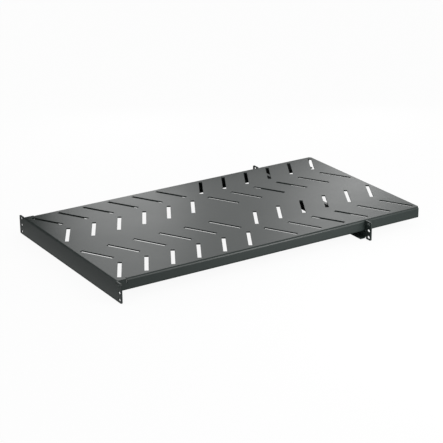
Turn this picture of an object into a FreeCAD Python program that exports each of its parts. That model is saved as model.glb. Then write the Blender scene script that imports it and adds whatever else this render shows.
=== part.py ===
import FreeCAD, Part
import os
import Sketcher

# Four post rack shelf: a slotted steel tray, folded from one sheet, with a folded cross-member welded
# under it that carries the rear pair of rack ears.
# +X runs across the shelf, +Y from the front panel to the open rear, +Z up. The origin is at the middle
# of the width and the depth, on the level of the lower edges. Millimetres and degrees.

# Driving sizes
SIZES = {
    # Steel sheet, and the inside radius of every fold
    "gauge": 3.0,
    "bend_inside": 1.5,
    # Rack panel of one unit: its outline, the ears beside the tray and their holes
    "panel_width": 482.6,
    "panel_height": 44.0,
    "ear_width": 21.3,
    "ear_corner": 3.0,
    "hole_from_edge": 8.75,
    "hole_pitch": 15.875,
    "hole_length": 9.8,
    "hole_width": 7.0,
    # Tray: depth over all, height of the side flanges over all, width of their return lips over all
    "deck_depth": 800.0,
    "side_height": 26.5,
    "lip_width": 18.0,
    "flange_setback": 3.0,
    # Cuts that end the folds: beside the ears, and at the front end of each side fold
    "ear_relief": 1.5,
    "foot_relief": 4.0,
    "relief_past_fold": 1.0,
    "slit_from_front": 25.0,
    "slit_width": 1.8,
    "slit_past_fold": 2.0,
    "slit_drop": 6.0,
    # Deck slots: outline, columns from the tray's sides, rows from its two ends
    "slot_length": 82.0,
    "slot_width": 8.6,
    "slot_angle": 29.5,
    "column_from_side": 50.6,
    "column_pitch": 100.4,
    "row_from_front": 36.1,
    "row_from_rear": 30.4,
    "row_pitch": 65.0,
    "group_gap": 60.0,
    # Cross-member: front face of its web from the front panel's face, flanges over all, room round the sides
    "brace_setback": 642.0,
    "brace_top": 11.0,
    "brace_foot": 15.0,
    "brace_clearance": 1.0,
}

# Places that several features share, as expressions of the sheet
BEND = "(Sizes.bend_inside + Sizes.gauge)"
TOP = "Sizes.panel_height"
UNDER = "(Sizes.panel_height - Sizes.gauge)"
LIP_FOOT = "(Sizes.panel_height - Sizes.side_height)"
EAR = "(Sizes.panel_width / 2)"
SIDE = "(Sizes.panel_width / 2 - Sizes.ear_width)"
SIDE_INNER = f"({SIDE} - Sizes.gauge)"
LIP_EDGE = f"({SIDE} - Sizes.lip_width)"
NOTCH_EDGE = f"({LIP_EDGE} - Sizes.brace_clearance)"
FLANGE_END = "(Sizes.deck_depth - Sizes.flange_setback)"
FRONT = "(-Sizes.deck_depth / 2)"

doc = FreeCAD.newDocument("rack_shelf")
sheet = doc.addObject("Spreadsheet::Sheet", "Sizes")
for row, (alias, size) in enumerate(SIZES.items(), start=1):
    sheet.set(f"A{row}", alias)
    sheet.set(f"B{row}", str(size))
    sheet.setAlias(f"B{row}", alias)
doc.recompute()


def value(expression):
    """Present value of an expression of the sheet."""
    return float(sheet.evalExpression(expression))


def bind(feature, **expressions):
    """Set a feature's properties, and keep them, from expressions of the sheet."""
    for name, expression in expressions.items():
        feature.setExpression(name, expression)


def new_body(label, setback):
    """A body whose own XZ plane lies the setback behind the front panel's face."""
    body = doc.addObject("PartDesign::Body", label)
    body.Label = label
    bind(body, **{"Placement.Base.y": f"{FRONT} + {setback}"})
    return body


def origin(body, role):
    """One of the body's own origin planes or axes."""
    return next(item for item in body.Origin.OriginFeatures if item.Role == role)


def new_sketch(body, name, plane, height="0"):
    """A sketch on one of the body's origin planes, raised along that plane's normal."""
    sketch = body.newObject("Sketcher::SketchObject", name)
    sketch.AttachmentSupport = [(origin(body, plane), "")]
    sketch.MapMode = "FlatFace"
    bind(sketch, **{"AttachmentOffset.Base.z": height})
    return sketch


def fix_point(sketch, curve, point, place):
    """Tie one point of a sketched curve to the sheet by its two coordinates."""
    for kind, expression in zip(("DistanceX", "DistanceY"), place):
        index = sketch.addConstraint(Sketcher.Constraint(kind, -1, 1, curve, point, value(expression)))
        sketch.setExpression(f"Constraints[{index}]", expression)


def polygon(sketch, corners):
    """A closed outline through corners that are each given by two expressions."""
    points = [FreeCAD.Vector(value(across), value(along), 0) for across, along in corners]
    ends = points[1:] + points[:1]
    lines = [sketch.addGeometry(Part.LineSegment(start, end)) for start, end in zip(points, ends)]
    for line, following in zip(lines, lines[1:] + lines[:1]):
        sketch.addConstraint(Sketcher.Constraint("Coincident", line, 2, following, 1))
    for line, corner in zip(lines, corners):
        fix_point(sketch, line, 1, corner)


def rectangle(sketch, left, low, right, high):
    """An upright rectangle between two pairs of expressions."""
    polygon(sketch, [(left, low), (right, low), (right, high), (left, high)])


def obround(sketch, centre, length, width, angle):
    """A slot with round ends: its middle, its length end to end, its width and its slant."""
    reach = [f"({length} - {width}) / 2 * {turn}({angle})" for turn in ("cos", "sin")]
    ends = [[f"{middle} {sign} {step}" for middle, step in zip(centre, reach)] for sign in "-+"]
    radius = value(f"{width} / 2")
    slant = FreeCAD.Vector(*[value(f"{turn}({angle})") for turn in ("cos", "sin")], 0)
    aside = FreeCAD.Vector(-slant.y, slant.x, 0) * radius
    first, last = [FreeCAD.Vector(*[value(part) for part in end], 0) for end in ends]
    first_cap = sketch.addGeometry(Part.Arc(first + aside, first - slant * radius, first - aside))
    low_side = sketch.addGeometry(Part.LineSegment(first - aside, last - aside))
    last_cap = sketch.addGeometry(Part.Arc(last - aside, last + slant * radius, last + aside))
    high_side = sketch.addGeometry(Part.LineSegment(last + aside, first + aside))
    outline = (first_cap, low_side, last_cap, high_side)
    for curve, following in zip(outline, outline[1:] + outline[:1]):
        sketch.addConstraint(Sketcher.Constraint("Tangent", curve, 2, following, 1))
    sketch.addConstraint(Sketcher.Constraint("Equal", first_cap, last_cap))
    index = sketch.addConstraint(Sketcher.Constraint("Radius", first_cap, radius))
    sketch.setExpression(f"Constraints[{index}]", f"{width} / 2")
    fix_point(sketch, first_cap, 3, ends[0])
    fix_point(sketch, last_cap, 3, ends[1])


def square_slot(sketch, centre, length, width, angle):
    """A slot with square ends: its middle, its length, its width and its slant."""
    along = [f"({length} / 2 * {turn}({angle}))" for turn in ("cos", "sin")]
    aside = [f"({width} / 2 * -sin({angle}))", f"({width} / 2 * cos({angle}))"]
    corners = []
    for end, edge in ("--", "+-", "++", "-+"):
        corners.append([f"{middle} {end} {step} {edge} {half}" for middle, step, half in zip(centre, along, aside)])
    polygon(sketch, corners)


def add_pad(body, sketch, length, backwards=False):
    """Pad a sketch along its normal, or against it."""
    pad = body.newObject("PartDesign::Pad", f"{sketch.Name}_pad")
    pad.Profile = sketch
    pad.Reversed = backwards
    bind(pad, Length=length)
    doc.recompute()


def add_pocket(body, sketch, depth):
    """Cut a sketch against its normal, and make sure that it takes something away."""
    before = body.Shape.Volume
    pocket = body.newObject("PartDesign::Pocket", f"{sketch.Name}_cut")
    pocket.Profile = sketch
    bind(pocket, Length=depth)
    doc.recompute()
    if body.Shape.Volume >= before:
        raise RuntimeError(f"{pocket.Name} cuts nothing")
    return pocket


def edges_between(feature, lines):
    """Names of the feature's edges that run between the given pairs of points."""
    wanted = [{tuple(round(value(part), 4) for part in point) for point in line} for line in lines]
    names = []
    for number, edge in enumerate(feature.Shape.Edges, start=1):
        if {tuple(round(part, 4) for part in vertex.Point) for vertex in edge.Vertexes} in wanted:
            names.append(f"Edge{number}")
    if len(names) != len(lines):
        raise RuntimeError(f"{feature.Name} has {len(names)} of {len(lines)} edges")
    return names


def add_fillet(body, name, lines, radius):
    """Round the edges of the body's latest feature that run between the given pairs of points."""
    base = body.Tip
    fillet = body.newObject("PartDesign::Fillet", name)
    fillet.Base = (base, edges_between(base, lines))
    bind(fillet, Radius=radius)
    doc.recompute()


def both_sides(line):
    """A line and its mirror image across the shelf."""
    return [line, [(f"-{across}", along, up) for across, along, up in line]]


def round_corners(body, name):
    """Round the outer corners of the body's ears."""
    corners = [[(EAR, "0", level), (EAR, "Sizes.gauge", level)] for level in ("0", TOP)]
    add_fillet(body, name, [line for corner in corners for line in both_sides(corner)], "Sizes.ear_corner")


def add_rack_holes(body):
    """Three slotted holes through each ear of the body's panel, on the rack's hole pitch."""
    sketch = new_sketch(body, f"{body.Name}_holes", "XZ_Plane")
    for side in "-+":
        for level in (-1, 0, 1):
            centre = (f"0 {side} ({EAR} - Sizes.hole_from_edge)", f"{TOP} / 2 + {level} * Sizes.hole_pitch")
            obround(sketch, centre, "Sizes.hole_length", "Sizes.hole_width", "0")
    add_pocket(body, sketch, "Sizes.gauge")


def add_slot_rows(body, name, first_row, margin, slant, backwards=False):
    """A row of four slots across the deck, repeated along the tray for as many rows as fit in half of it."""
    sketch = new_sketch(body, name, "XY_Plane", TOP)
    outer = f"({SIDE} - Sizes.column_from_side)"
    inner = f"({SIDE} - Sizes.column_from_side - Sizes.column_pitch)"
    for side in (-1, 1):
        for column, lean in ((inner, slant), (outer, -slant)):
            centre = (f"{side} * {column}", first_row)
            angle = f"{side * lean} * Sizes.slot_angle"
            square_slot(sketch, centre, "Sizes.slot_length", "Sizes.slot_width", angle)
    row = add_pocket(body, sketch, "Sizes.gauge")
    rows = body.newObject("PartDesign::LinearPattern", f"{name}_rows")
    rows.Originals = [row]
    rows.Direction = (origin(body, "Y_Axis"), [""])
    rows.Reversed = backwards
    rows.Mode = "Spacing"
    room = f"(Sizes.deck_depth / 2 - {margin} - Sizes.group_gap / 2)"
    bind(rows, Offset="Sizes.row_pitch", Occurrences=f"floor({room} / Sizes.row_pitch) + 1")
    body.Tip = rows
    doc.recompute()


# Folded tray
tray = new_body("shelf_tray", "0")

panel = new_sketch(tray, "panel", "XZ_Plane")
rectangle(panel, f"-{EAR}", "0", EAR, TOP)
add_pad(tray, panel, "Sizes.gauge", backwards=True)

# Section of the deck, its side flanges and their return lips
section = new_sketch(tray, "section", "XZ_Plane")
half = [
    (SIDE, TOP),
    (SIDE, LIP_FOOT),
    (LIP_EDGE, LIP_FOOT),
    (LIP_EDGE, f"{LIP_FOOT} + Sizes.gauge"),
    (SIDE_INNER, f"{LIP_FOOT} + Sizes.gauge"),
    (SIDE_INNER, UNDER),
]
polygon(section, half + [(f"-{across}", up) for across, up in reversed(half)])
add_pad(tray, section, FLANGE_END, backwards=True)

# Cuts beside the front fold, so that the ears stand free of it
ear_reliefs = new_sketch(tray, "ear_reliefs", "XZ_Plane")
relief_foot = f"{TOP} - {BEND} - Sizes.relief_past_fold"
rectangle(ear_reliefs, SIDE, relief_foot, f"{SIDE} + Sizes.ear_relief", TOP)
rectangle(ear_reliefs, f"-{SIDE} - Sizes.ear_relief", relief_foot, f"-{SIDE}", TOP)
add_pocket(tray, ear_reliefs, "Sizes.gauge")

# Slits that end the side folds, ahead of which each corner is square
slits = new_sketch(tray, "slits", "XY_Plane", TOP)
slit_root = f"({SIDE} - {BEND} - Sizes.slit_past_fold)"
slit_end = "Sizes.slit_from_front + Sizes.slit_width"
rectangle(slits, slit_root, "Sizes.slit_from_front", SIDE, slit_end)
rectangle(slits, f"-{SIDE}", "Sizes.slit_from_front", f"-{slit_root}", slit_end)
add_pocket(tray, slits, f"{BEND} + Sizes.slit_drop")

folds_outside = [[(f"-{SIDE}", "0", TOP), (SIDE, "0", TOP)]]
folds_outside += both_sides([(SIDE, slit_end, TOP), (SIDE, FLANGE_END, TOP)])
folds_outside += both_sides([(SIDE, "Sizes.gauge", LIP_FOOT), (SIDE, FLANGE_END, LIP_FOOT)])
add_fillet(tray, "tray_folds_outside", folds_outside, BEND)

lip_top = f"{LIP_FOOT} + Sizes.gauge"
folds_inside = [[(f"-{SIDE_INNER}", "Sizes.gauge", UNDER), (SIDE_INNER, "Sizes.gauge", UNDER)]]
folds_inside += both_sides([(SIDE_INNER, slit_end, UNDER), (SIDE_INNER, FLANGE_END, UNDER)])
folds_inside += both_sides([(SIDE_INNER, "Sizes.gauge", lip_top), (SIDE_INNER, FLANGE_END, lip_top)])
add_fillet(tray, "tray_folds_inside", folds_inside, "Sizes.bend_inside")

# Deck behind the ends of the side flanges, clear of their folds
tail = new_sketch(tray, "tail", "XY_Plane", TOP)
rectangle(tail, f"-{slit_root}", FLANGE_END, slit_root, "Sizes.deck_depth")
add_pad(tray, tail, "Sizes.gauge", backwards=True)

round_corners(tray, "tray_ear_corners")
add_rack_holes(tray)
add_slot_rows(tray, "front_slots", "Sizes.row_from_front", "Sizes.row_from_front", 1)
last_row = "Sizes.deck_depth - Sizes.row_from_rear"
add_slot_rows(tray, "rear_slots", last_row, "Sizes.row_from_rear", -1, backwards=True)

# Cross-member, folded from one sheet
brace = new_body("rear_crossmember", "Sizes.brace_setback")

# Web and ears: up to the deck between the lips, under the lips, and clear of the side flanges
web = new_sketch(brace, "web", "XZ_Plane")
foot_end = f"({SIDE} + Sizes.foot_relief)"
foot_relief_top = f"({BEND} + Sizes.relief_past_fold)"
half = [
    (NOTCH_EDGE, UNDER),
    (NOTCH_EDGE, LIP_FOOT),
    (f"({SIDE} + Sizes.brace_clearance)", LIP_FOOT),
    (f"({SIDE} + Sizes.brace_clearance)", TOP),
    (EAR, TOP),
    (EAR, "0"),
    (foot_end, "0"),
    (foot_end, foot_relief_top),
    (SIDE, foot_relief_top),
    (SIDE, "0"),
]
polygon(web, half + [(f"-{across}", up) for across, up in reversed(half)])
add_pad(brace, web, "Sizes.gauge", backwards=True)

# Flanges that run forward from the web
top_flange = new_sketch(brace, "top_flange", "XY_Plane", UNDER)
rectangle(top_flange, f"-{NOTCH_EDGE}", "Sizes.gauge - Sizes.brace_top", NOTCH_EDGE, "Sizes.gauge")
add_pad(brace, top_flange, "Sizes.gauge", backwards=True)

foot_flange = new_sketch(brace, "foot_flange", "XY_Plane")
rectangle(foot_flange, f"-{SIDE}", "Sizes.gauge - Sizes.brace_foot", SIDE, "Sizes.gauge")
add_pad(brace, foot_flange, "Sizes.gauge")

brace_under = f"({UNDER} - Sizes.gauge)"
folds_outside = [
    [(f"-{NOTCH_EDGE}", "Sizes.gauge", UNDER), (NOTCH_EDGE, "Sizes.gauge", UNDER)],
    [(f"-{SIDE}", "Sizes.gauge", "0"), (SIDE, "Sizes.gauge", "0")],
]
add_fillet(brace, "brace_folds_outside", folds_outside, BEND)
folds_inside = [
    [(f"-{NOTCH_EDGE}", "0", brace_under), (NOTCH_EDGE, "0", brace_under)],
    [(f"-{SIDE}", "0", "Sizes.gauge"), (SIDE, "0", "Sizes.gauge")],
]
add_fillet(brace, "brace_folds_inside", folds_inside, "Sizes.bend_inside")

round_corners(brace, "brace_ear_corners")
add_rack_holes(brace)

# Every object is sound before anything is written
doc.recompute()
for item in doc.Objects:
    if "Invalid" in item.State or "Error" in item.State:
        raise RuntimeError(f"{item.Name} failed: {item.State}")
os.makedirs("parts", exist_ok=True)
for body in (tray, brace):
    if body.Shape.isNull() or not body.Shape.isValid() or len(body.Shape.Solids) != 1:
        raise RuntimeError(f"{body.Label} is not one sound solid")
for body in (tray, brace):
    body.Shape.exportStep(f"parts/{body.Label}.step")
    box = body.Shape.BoundBox
    size = f"{box.XLength:.1f} x {box.YLength:.1f} x {box.ZLength:.1f} mm"
    print(f"{body.Label}: {size}, {body.Shape.Volume / 1000:.1f} cm3")
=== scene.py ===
import bmesh
import bpy
import numpy as np
from mathutils import Matrix, Vector


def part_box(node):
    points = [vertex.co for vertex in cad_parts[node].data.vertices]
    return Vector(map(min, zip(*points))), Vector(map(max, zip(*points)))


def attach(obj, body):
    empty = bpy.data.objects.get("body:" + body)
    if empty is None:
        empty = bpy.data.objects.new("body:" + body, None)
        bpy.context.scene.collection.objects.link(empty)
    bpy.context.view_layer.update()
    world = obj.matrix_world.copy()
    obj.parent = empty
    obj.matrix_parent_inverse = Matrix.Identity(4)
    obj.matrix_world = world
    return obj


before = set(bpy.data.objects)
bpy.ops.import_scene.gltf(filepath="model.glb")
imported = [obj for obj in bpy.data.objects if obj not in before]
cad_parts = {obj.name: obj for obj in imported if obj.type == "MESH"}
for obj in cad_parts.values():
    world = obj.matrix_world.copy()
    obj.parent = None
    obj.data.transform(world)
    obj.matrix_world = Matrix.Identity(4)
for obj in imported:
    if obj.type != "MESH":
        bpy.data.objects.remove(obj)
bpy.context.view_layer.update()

# Four post rack shelf, powder coated: the folded tray and its rear cross-member keep their modelled shapes and get
# their finish here, with the weld beads that hold the cross-member and close the front corners. Metres, +Z up, front
# at -Y.

tray_low, tray_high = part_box("shelf_tray")
_, brace_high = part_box("rear_crossmember")

MM = 0.001

# The modelled sheet, where the welds meet it
GAUGE = 3.0 * MM
LIP_FOOT = 17.5 * MM
LIP_EDGE = 202.0 * MM
FLANGE_INSIDE = 217.0 * MM
BRACE_TOP = 11.0 * MM
DECK_UNDERSIDE = tray_high.z - GAUGE

# Welds: under each lip, both ends from the lip's edge; along the cross-member's top flange, middle and half length;
# and up each front corner, clear of the lip and of the deck
LIP_WELD_LEG = 2.6 * MM
LIP_WELD_ENDS = (1 * MM, 13 * MM)
TOP_WELD_LEG = 2.0 * MM
TOP_WELDS = [(-187 * MM, 8 * MM), (-120 * MM, 12 * MM), (0, 12 * MM), (120 * MM, 12 * MM), (187 * MM, 8 * MM)]
CORNER_WELD_LEG = 2.2 * MM
CORNER_WELD_OVER_LIP = 3 * MM
CORNER_WELD_UNDER_DECK = 4 * MM

# Floor: its depth under the shelf, the share of white that the camera sees, and a painted band of light that
# reflections alone see, none under the shelf, rising from the shelf's outline and fading further out
FLOOR_DROP = 0.5 * MM
FLOOR_SPOKES = 240
FLOOR_SEEN_WHITE = 0.92
PAINTED_GLOW = 0.66
PAINTED_GLOW_RISE = 6 * MM
PAINTED_GLOW_FADE = 25 * MM

# Studio: even light from all round. Two soft boxes behind the shelf give the deck its two bright bands, a long one on
# the right draws the line along the side fold, and two low ones there lift the side flange.
AMBIENT = 0.8
SOFTBOXES = [
    # Name, place, target, direction of the width, width, height, watts
    ("deck_front", (-0.906, 0.248, 0.34), (-0.143, -0.229, 0.04), (0.530, 0.848, 0), 0.32, 0.36, 0.55),
    ("deck_rear", (-0.578, 0.774, 0.36), (0.185, 0.297, 0.04), (0.406, 0.650, 0.643), 0.16, 0.50, 0.60),
    ("fold_line", (1.06, 0.42, 0.65), (0.22, -0.18, 0.04), (0, 1, 0), 0.75, 0.20, 2.9),
    ("flange_near", (0.81, 0.34, 0.10), (0.22, -0.02, 0.03), (0, 1, 0), 0.3, 0.14, 2.6),
    ("flange_far", (1.6, 0.35, 0.20), (0.22, 0.0, 0.03), (0, 1, 0), 0.5, 0.3, 1.5),
]

# Dark cards in the reflections: one at the left for the front fold and the deck's front left corner, a low one for the
# deck's left edge, and one above for the start of the side fold
GREY_CARDS = [
    # Name, corner, one side, other side
    ("card_left", (-0.488, -0.214, 0), (-0.561, -0.899, 0), (0, 0, 0.95)),
    ("card_low", (-0.30, 0, 0), (0, 0.6, 0), (0, 0, 0.07)),
    ("card_above", (-0.8, 0.2, 1.2), (1.6, 0, 0), (0, 1.1, 0)),
]

# Camera: how far behind the deck's front edge the point lies that it circles, its focal length and the picture's width
# in pixels, and its sensor
CIRCLED_DEPTH = 0.5
FOCAL_PIXELS = 1510.0
PICTURE_PIXELS = 443
SENSOR_MM = 36.0


def linear(hex_colour):
    """Linear RGBA of an sRGB hex colour, by the two branches of the sRGB curve."""
    srgb = np.array([int(hex_colour[i:i + 2], 16) for i in (1, 3, 5)]) / 255
    rgb = np.where(srgb <= 0.04045, srgb / 12.92, ((srgb + 0.055) / 1.055) ** 2.4)
    return (*rgb.tolist(), 1.0)


def add(tree, kind, settings=(), **inputs):
    """Add one node: its settings as properties, then each input as a value or as a link from another output. An input
    is named, with _ for a space, or numbered, as _0."""
    node = tree.nodes.new(kind)
    for name, setting in dict(settings).items():
        setattr(node, name, setting)
    for name, given in inputs.items():
        socket = node.inputs[int(name[1:])] if name[1:].isdigit() else node.inputs[name.replace("_", " ")]
        if isinstance(given, bpy.types.NodeSocket):
            tree.links.new(given, socket)
        else:
            socket.default_value = given
    return node


def new_material(name):
    """An empty node material and its tree."""
    material = bpy.data.materials.new(name)
    material.use_nodes = True
    material.node_tree.nodes.clear()
    return material, material.node_tree


def powder_coat():
    """Polyester powder coat baked on steel sheet, satin, almost black.

    The powder melts into an even film with a faint orange peel, so the colour is uniform, highlights are broad and
    soft, and light that grazes a face breaks up a little. The film's thickness drifts over a hand's breadth and makes
    the colour and the gloss drift with it. The orange peel has cells of about 1 mm on the real film, and is drawn at
    3 mm so that it shows from here.
    """
    film_cloud, peel_cell, peel_height = 90 * MM, 3 * MM, 0.06 * MM
    material, tree = new_material("satin_powder_coat_on_steel")
    place = add(tree, "ShaderNodeTexCoord").outputs["Object"]
    film = add(tree, "ShaderNodeTexNoise", Vector=place, Scale=1 / film_cloud, Detail=3.0, Roughness=0.55)
    shade = add(tree, "ShaderNodeMix", {"data_type": "RGBA"}, _0=film.outputs["Fac"], _6=linear("#1f2725"),
                _7=linear("#242c2a"))
    peel = add(tree, "ShaderNodeTexNoise", Vector=place, Scale=1 / peel_cell, Detail=2.0, Roughness=0.5)
    gloss = add(tree, "ShaderNodeMapRange", Value=film.outputs["Fac"], To_Min=0.36, To_Max=0.42)
    bump = add(tree, "ShaderNodeBump", Height=peel.outputs["Fac"], Strength=0.35, Distance=peel_height)
    surface = add(tree, "ShaderNodeBsdfPrincipled", Base_Color=shade.outputs[2], Roughness=gloss.outputs["Result"],
                  Normal=bump.outputs["Normal"], IOR=1.46)
    add(tree, "ShaderNodeOutputMaterial", Surface=surface.outputs["BSDF"])
    return material


def studio_floor_material():
    """Pale studio floor: a lit floor that keeps the shelf's shadow, with a share of plain white over it. The share is
    large for the camera, is nothing for all other rays, and for reflections is painted light from the attribute: a
    band of white round the shelf's outline, none under it."""
    material, tree = new_material("pale_studio_floor")
    path = add(tree, "ShaderNodeLightPath")
    painted_glow = add(tree, "ShaderNodeAttribute", {"attribute_name": "painted_glow"}).outputs["Fac"]
    mirrored = add(tree, "ShaderNodeMath", {"operation": "MAXIMUM"}, _0=path.outputs["Is Glossy Ray"],
                   _1=path.outputs["Is Transmission Ray"]).outputs[0]
    # Painted light: reflections see white in a band round the shelf's outline, none under it
    mirrored = add(tree, "ShaderNodeMath", {"operation": "MULTIPLY"}, _0=mirrored, _1=painted_glow).outputs[0]
    seen = add(tree, "ShaderNodeMath", {"operation": "MULTIPLY"}, _0=path.outputs["Is Camera Ray"],
               _1=FLOOR_SEEN_WHITE).outputs[0]
    share = add(tree, "ShaderNodeMath", {"operation": "MAXIMUM"}, _0=seen, _1=mirrored).outputs[0]
    tone = add(tree, "ShaderNodeMix", {"data_type": "RGBA"}, _0=path.outputs["Is Camera Ray"],
               _6=linear("#a0a0a0"), _7=linear("#f4f4f4"))
    lit = add(tree, "ShaderNodeBsdfDiffuse", Color=tone.outputs[2])
    white = add(tree, "ShaderNodeEmission", Color=(1, 1, 1, 1), Strength=1.0)
    mixed = add(tree, "ShaderNodeMixShader", _0=share, _1=lit.outputs[0], _2=white.outputs[0])
    # Clear from below, so that the underside can be looked at
    under = add(tree, "ShaderNodeNewGeometry").outputs["Backfacing"]
    clear = add(tree, "ShaderNodeBsdfTransparent")
    mixed = add(tree, "ShaderNodeMixShader", _0=under, _1=mixed.outputs[0], _2=clear.outputs[0])
    add(tree, "ShaderNodeOutputMaterial", Surface=mixed.outputs[0])
    return material


def grid_faces(rows, columns):
    """Quads between each four neighbours of a grid whose last column joins its first."""
    index = np.arange(rows * columns).reshape(rows, columns)
    around = np.roll(index, -1, axis=1)
    return np.stack([index[:-1], around[:-1], around[1:], index[1:]], axis=-1).reshape(-1, 4)


def new_piece(name, points, faces, material):
    """An object at the origin with its place in its mesh, doubles merged and smooth faces."""
    mesh = bpy.data.meshes.new(name)
    mesh.from_pydata(points.reshape(-1, 3).tolist(), [], faces.tolist())
    body = bmesh.new()
    body.from_mesh(mesh)
    bmesh.ops.remove_doubles(body, verts=body.verts, dist=0.001 * MM)
    body.to_mesh(mesh)
    body.free()
    mesh.shade_smooth()
    mesh.materials.append(material)
    piece = bpy.data.objects.new(name, mesh)
    bpy.context.scene.collection.objects.link(piece)
    return piece


def weld_bead(start, end, one_face, other_face, leg):
    """Fillet weld in the corner between two faces, from start to end, as a grid of points.

    The section at a place u along the corner runs from one face to the other on a quarter circle, through the angle
    v, and closes through the corner itself. Its radius is the leg, drawn in as the square root towards both ends,
    where the arc was struck and broken, a little hollow between the faces, and rippled by a sine along u whose crests
    lag in the middle of the bead, as the pool froze behind the arc.
    """
    sections, section_points = 61, 13
    ripple_pitch, ripple_height, ripple_lag, hollow = 1.6 * MM, 0.07, 0.45, 0.16
    start, end, one_face, other_face = (np.array(given, float) for given in (start, end, one_face, other_face))
    length = np.linalg.norm(end - start)
    u = np.linspace(0, 1, sections)[:, None]
    v = np.linspace(0, np.pi / 2, section_points)[None, :]
    ends = np.sqrt(np.clip(np.minimum(u, 1 - u) * length / leg, 0, 1))
    ripple = 1 + ripple_height * np.sin(2 * np.pi * (u * length / ripple_pitch - ripple_lag * np.sin(2 * v)))
    radius = (leg * ends * ripple * (1 - hollow * np.sin(2 * v)))[..., None]
    middle = start + u[..., None] * (end - start)
    arc = middle + radius * (np.cos(v)[..., None] * one_face + np.sin(v)[..., None] * other_face)
    return np.concatenate([arc, np.broadcast_to(middle, (sections, 1, 3))], axis=1)


def weld_seams(name, corners, material):
    """One piece of several weld beads, with faces turned outwards whichever way each corner opens."""
    points = np.stack([weld_bead(*corner) for corner in corners])
    faces = grid_faces(*points.shape[1:3])
    turned = [np.dot(np.cross(one, other), np.subtract(end, start)) < 0 for start, end, one, other, _ in corners]
    count = points.shape[1] * points.shape[2]
    quads = [(faces[:, ::-1] if turn else faces) + number * count for number, turn in enumerate(turned)]
    piece = new_piece(name, points, np.concatenate(quads), material)
    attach(piece, "root")


def studio_floor():
    """Round floor just under the shelf: radius r and angle t give (r cos t, r sin t), with close rings near the shelf
    and wide ones far out. Its attribute is a painted band of light that reflections see: 0 under the shelf, rising at
    the shelf's outline, and fading as e to the minus distance further out."""
    radius = np.concatenate([np.linspace(0, 0.7, 141), np.geomspace(0.75, 25, 20)])[:, None]
    angle = np.linspace(2 * np.pi, 0, FLOOR_SPOKES, endpoint=False)[None, :]
    points = np.stack(np.broadcast_arrays(radius * np.cos(angle), radius * np.sin(angle), -FLOOR_DROP), axis=-1)
    floor = new_piece("studio_floor", points, grid_faces(*points.shape[:2]), studio_floor_material())
    places = np.array([vertex.co for vertex in floor.data.vertices])
    beyond = np.maximum(np.abs(places[:, :2]) - (tray_high.x, tray_high.y), 0)
    apart = np.hypot(*beyond.T)
    # Painted band of light for reflections: none under the shelf, brightest just past its outline, fading further out
    painted_glow = np.clip(apart / PAINTED_GLOW_RISE, 0, 1) * PAINTED_GLOW * np.exp(-apart / PAINTED_GLOW_FADE)
    floor.data.attributes.new("painted_glow", "FLOAT", "POINT").data.foreach_set("value", painted_glow)


def studio_world(ambient):
    """White surroundings for the camera and for reflections, an even light of a set strength for everything else."""
    world = bpy.data.worlds.new("studio")
    bpy.context.scene.world = world
    world.use_nodes = True
    tree = world.node_tree
    tree.nodes.clear()
    path = add(tree, "ShaderNodeLightPath")
    seen = add(tree, "ShaderNodeMath", {"operation": "MAXIMUM"}, _0=path.outputs["Is Camera Ray"],
               _1=path.outputs["Is Glossy Ray"]).outputs[0]
    seen = add(tree, "ShaderNodeMath", {"operation": "MAXIMUM"}, _0=seen,
               _1=path.outputs["Is Transmission Ray"]).outputs[0]
    even = add(tree, "ShaderNodeBackground", Color=(1, 1, 1, 1), Strength=ambient)
    white = add(tree, "ShaderNodeBackground", Color=(1, 1, 1, 1), Strength=1.0)
    mixed = add(tree, "ShaderNodeMixShader", _0=seen, _1=even.outputs[0], _2=white.outputs[0])
    add(tree, "ShaderNodeOutputWorld", Surface=mixed.outputs[0])


def softbox(name, place, target, along, width, height, watts):
    """A rectangular soft light that faces the target, with its width along a direction, and hides from the camera."""
    lamp = bpy.data.lights.new(name, "AREA")
    lamp.shape = "RECTANGLE"
    lamp.size, lamp.size_y, lamp.energy = width, height, watts
    light = bpy.data.objects.new(name, lamp)
    bpy.context.scene.collection.objects.link(light)
    back = (Vector(place) - Vector(target)).normalized()
    up = back.cross(Vector(along)).normalized()
    light.matrix_world = Matrix.Translation(place) @ Matrix((up.cross(back), up, back)).transposed().to_4x4()
    light.visible_camera = False


def grey_card(name, corner, one_side, other_side):
    """A card of dark grey paper, from a corner along two sides, that shows in reflections alone."""
    corner, one_side, other_side = (np.array(given, float) for given in (corner, one_side, other_side))
    material, tree = new_material("dark_grey_paper")
    paper = add(tree, "ShaderNodeBsdfDiffuse", Color=linear("#606060"))
    add(tree, "ShaderNodeOutputMaterial", Surface=paper.outputs[0])
    points = np.array([corner, corner + one_side, corner + one_side + other_side, corner + other_side])
    card = new_piece(name, points, np.arange(4)[None], material)
    card.visible_camera = card.visible_diffuse = card.visible_shadow = card.visible_transmission = False


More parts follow.
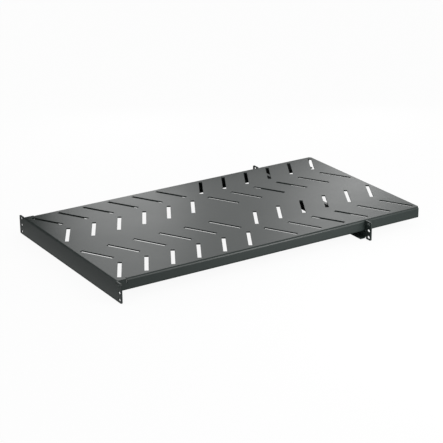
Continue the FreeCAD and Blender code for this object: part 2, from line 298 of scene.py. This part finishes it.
def camera(azimuth, elevation, roll, distance, aside, raised):
    """Camera on a sphere round a point of the deck: azimuth and elevation in degrees, roll about its own axis, then a
    shift of the camera itself in its own plane."""
    turn, rise, lean = np.radians([azimuth, elevation, roll])
    back = np.array([np.sin(turn) * np.cos(rise), -np.cos(turn) * np.cos(rise), np.sin(rise)])
    level = np.array([np.cos(turn), np.sin(turn), 0])
    upright = np.cross(back, level)
    right = np.cos(lean) * level + np.sin(lean) * upright
    up = np.cos(lean) * upright - np.sin(lean) * level
    eye = np.array([0, tray_low.y + CIRCLED_DEPTH, tray_high.z]) + back * distance + right * aside + up * raised
    lens = bpy.data.cameras.new("camera")
    lens.sensor_width = SENSOR_MM
    lens.lens = SENSOR_MM * (FOCAL_PIXELS / PICTURE_PIXELS)
    seat = bpy.data.objects.new("camera", lens)
    bpy.context.scene.collection.objects.link(seat)
    axes = np.column_stack([right, up, back])
    seat.matrix_world = Matrix.Translation(eye) @ Matrix(axes.tolist()).to_4x4()
    bpy.context.scene.camera = seat


# Weld beads: under the lips on both faces of the web, along the top flange's front edge between the deck's slots, and
# up the inside of each front corner
web_front, web_rear = brace_high.y - GAUGE, brace_high.y
flange_edge = brace_high.y - BRACE_TOP
panel_back = tray_low.y + GAUGE
brace_welds = []
for side in (-1, 1):
    for face, ahead in ((web_front, -1), (web_rear, 1)):
        reach = [(side * (LIP_EDGE + end), face, LIP_FOOT) for end in LIP_WELD_ENDS]
        brace_welds.append((*reach, (0, ahead, 0), (0, 0, -1), LIP_WELD_LEG))
for middle, half in TOP_WELDS:
    reach = [(middle + end, flange_edge, DECK_UNDERSIDE) for end in (-half, half)]
    brace_welds.append((*reach, (0, -1, 0), (0, 0, -1), TOP_WELD_LEG))
corner_welds = []
for side in (-1, 1):
    heights = (LIP_FOOT + CORNER_WELD_OVER_LIP, DECK_UNDERSIDE - CORNER_WELD_UNDER_DECK)
    reach = [(side * FLANGE_INSIDE, panel_back, height) for height in heights]
    corner_welds.append((*reach, (-side, 0, 0), (0, 1, 0), CORNER_WELD_LEG))

coat = powder_coat()
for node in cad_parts.values():
    node.data.materials.clear()
    node.data.materials.append(coat)
weld_seams("crossmember_welds", brace_welds, coat)
weld_seams("front_corner_welds", corner_welds, coat)

studio_floor()
studio_world(AMBIENT)
for card in GREY_CARDS:
    grey_card(*card)
for box in SOFTBOXES:
    softbox(*box)
camera(azimuth=57.787, elevation=20.923, roll=-0.347, distance=3.5216, aside=-0.08797, raised=-0.04101)
bpy.context.scene.view_settings.view_transform = "Standard"
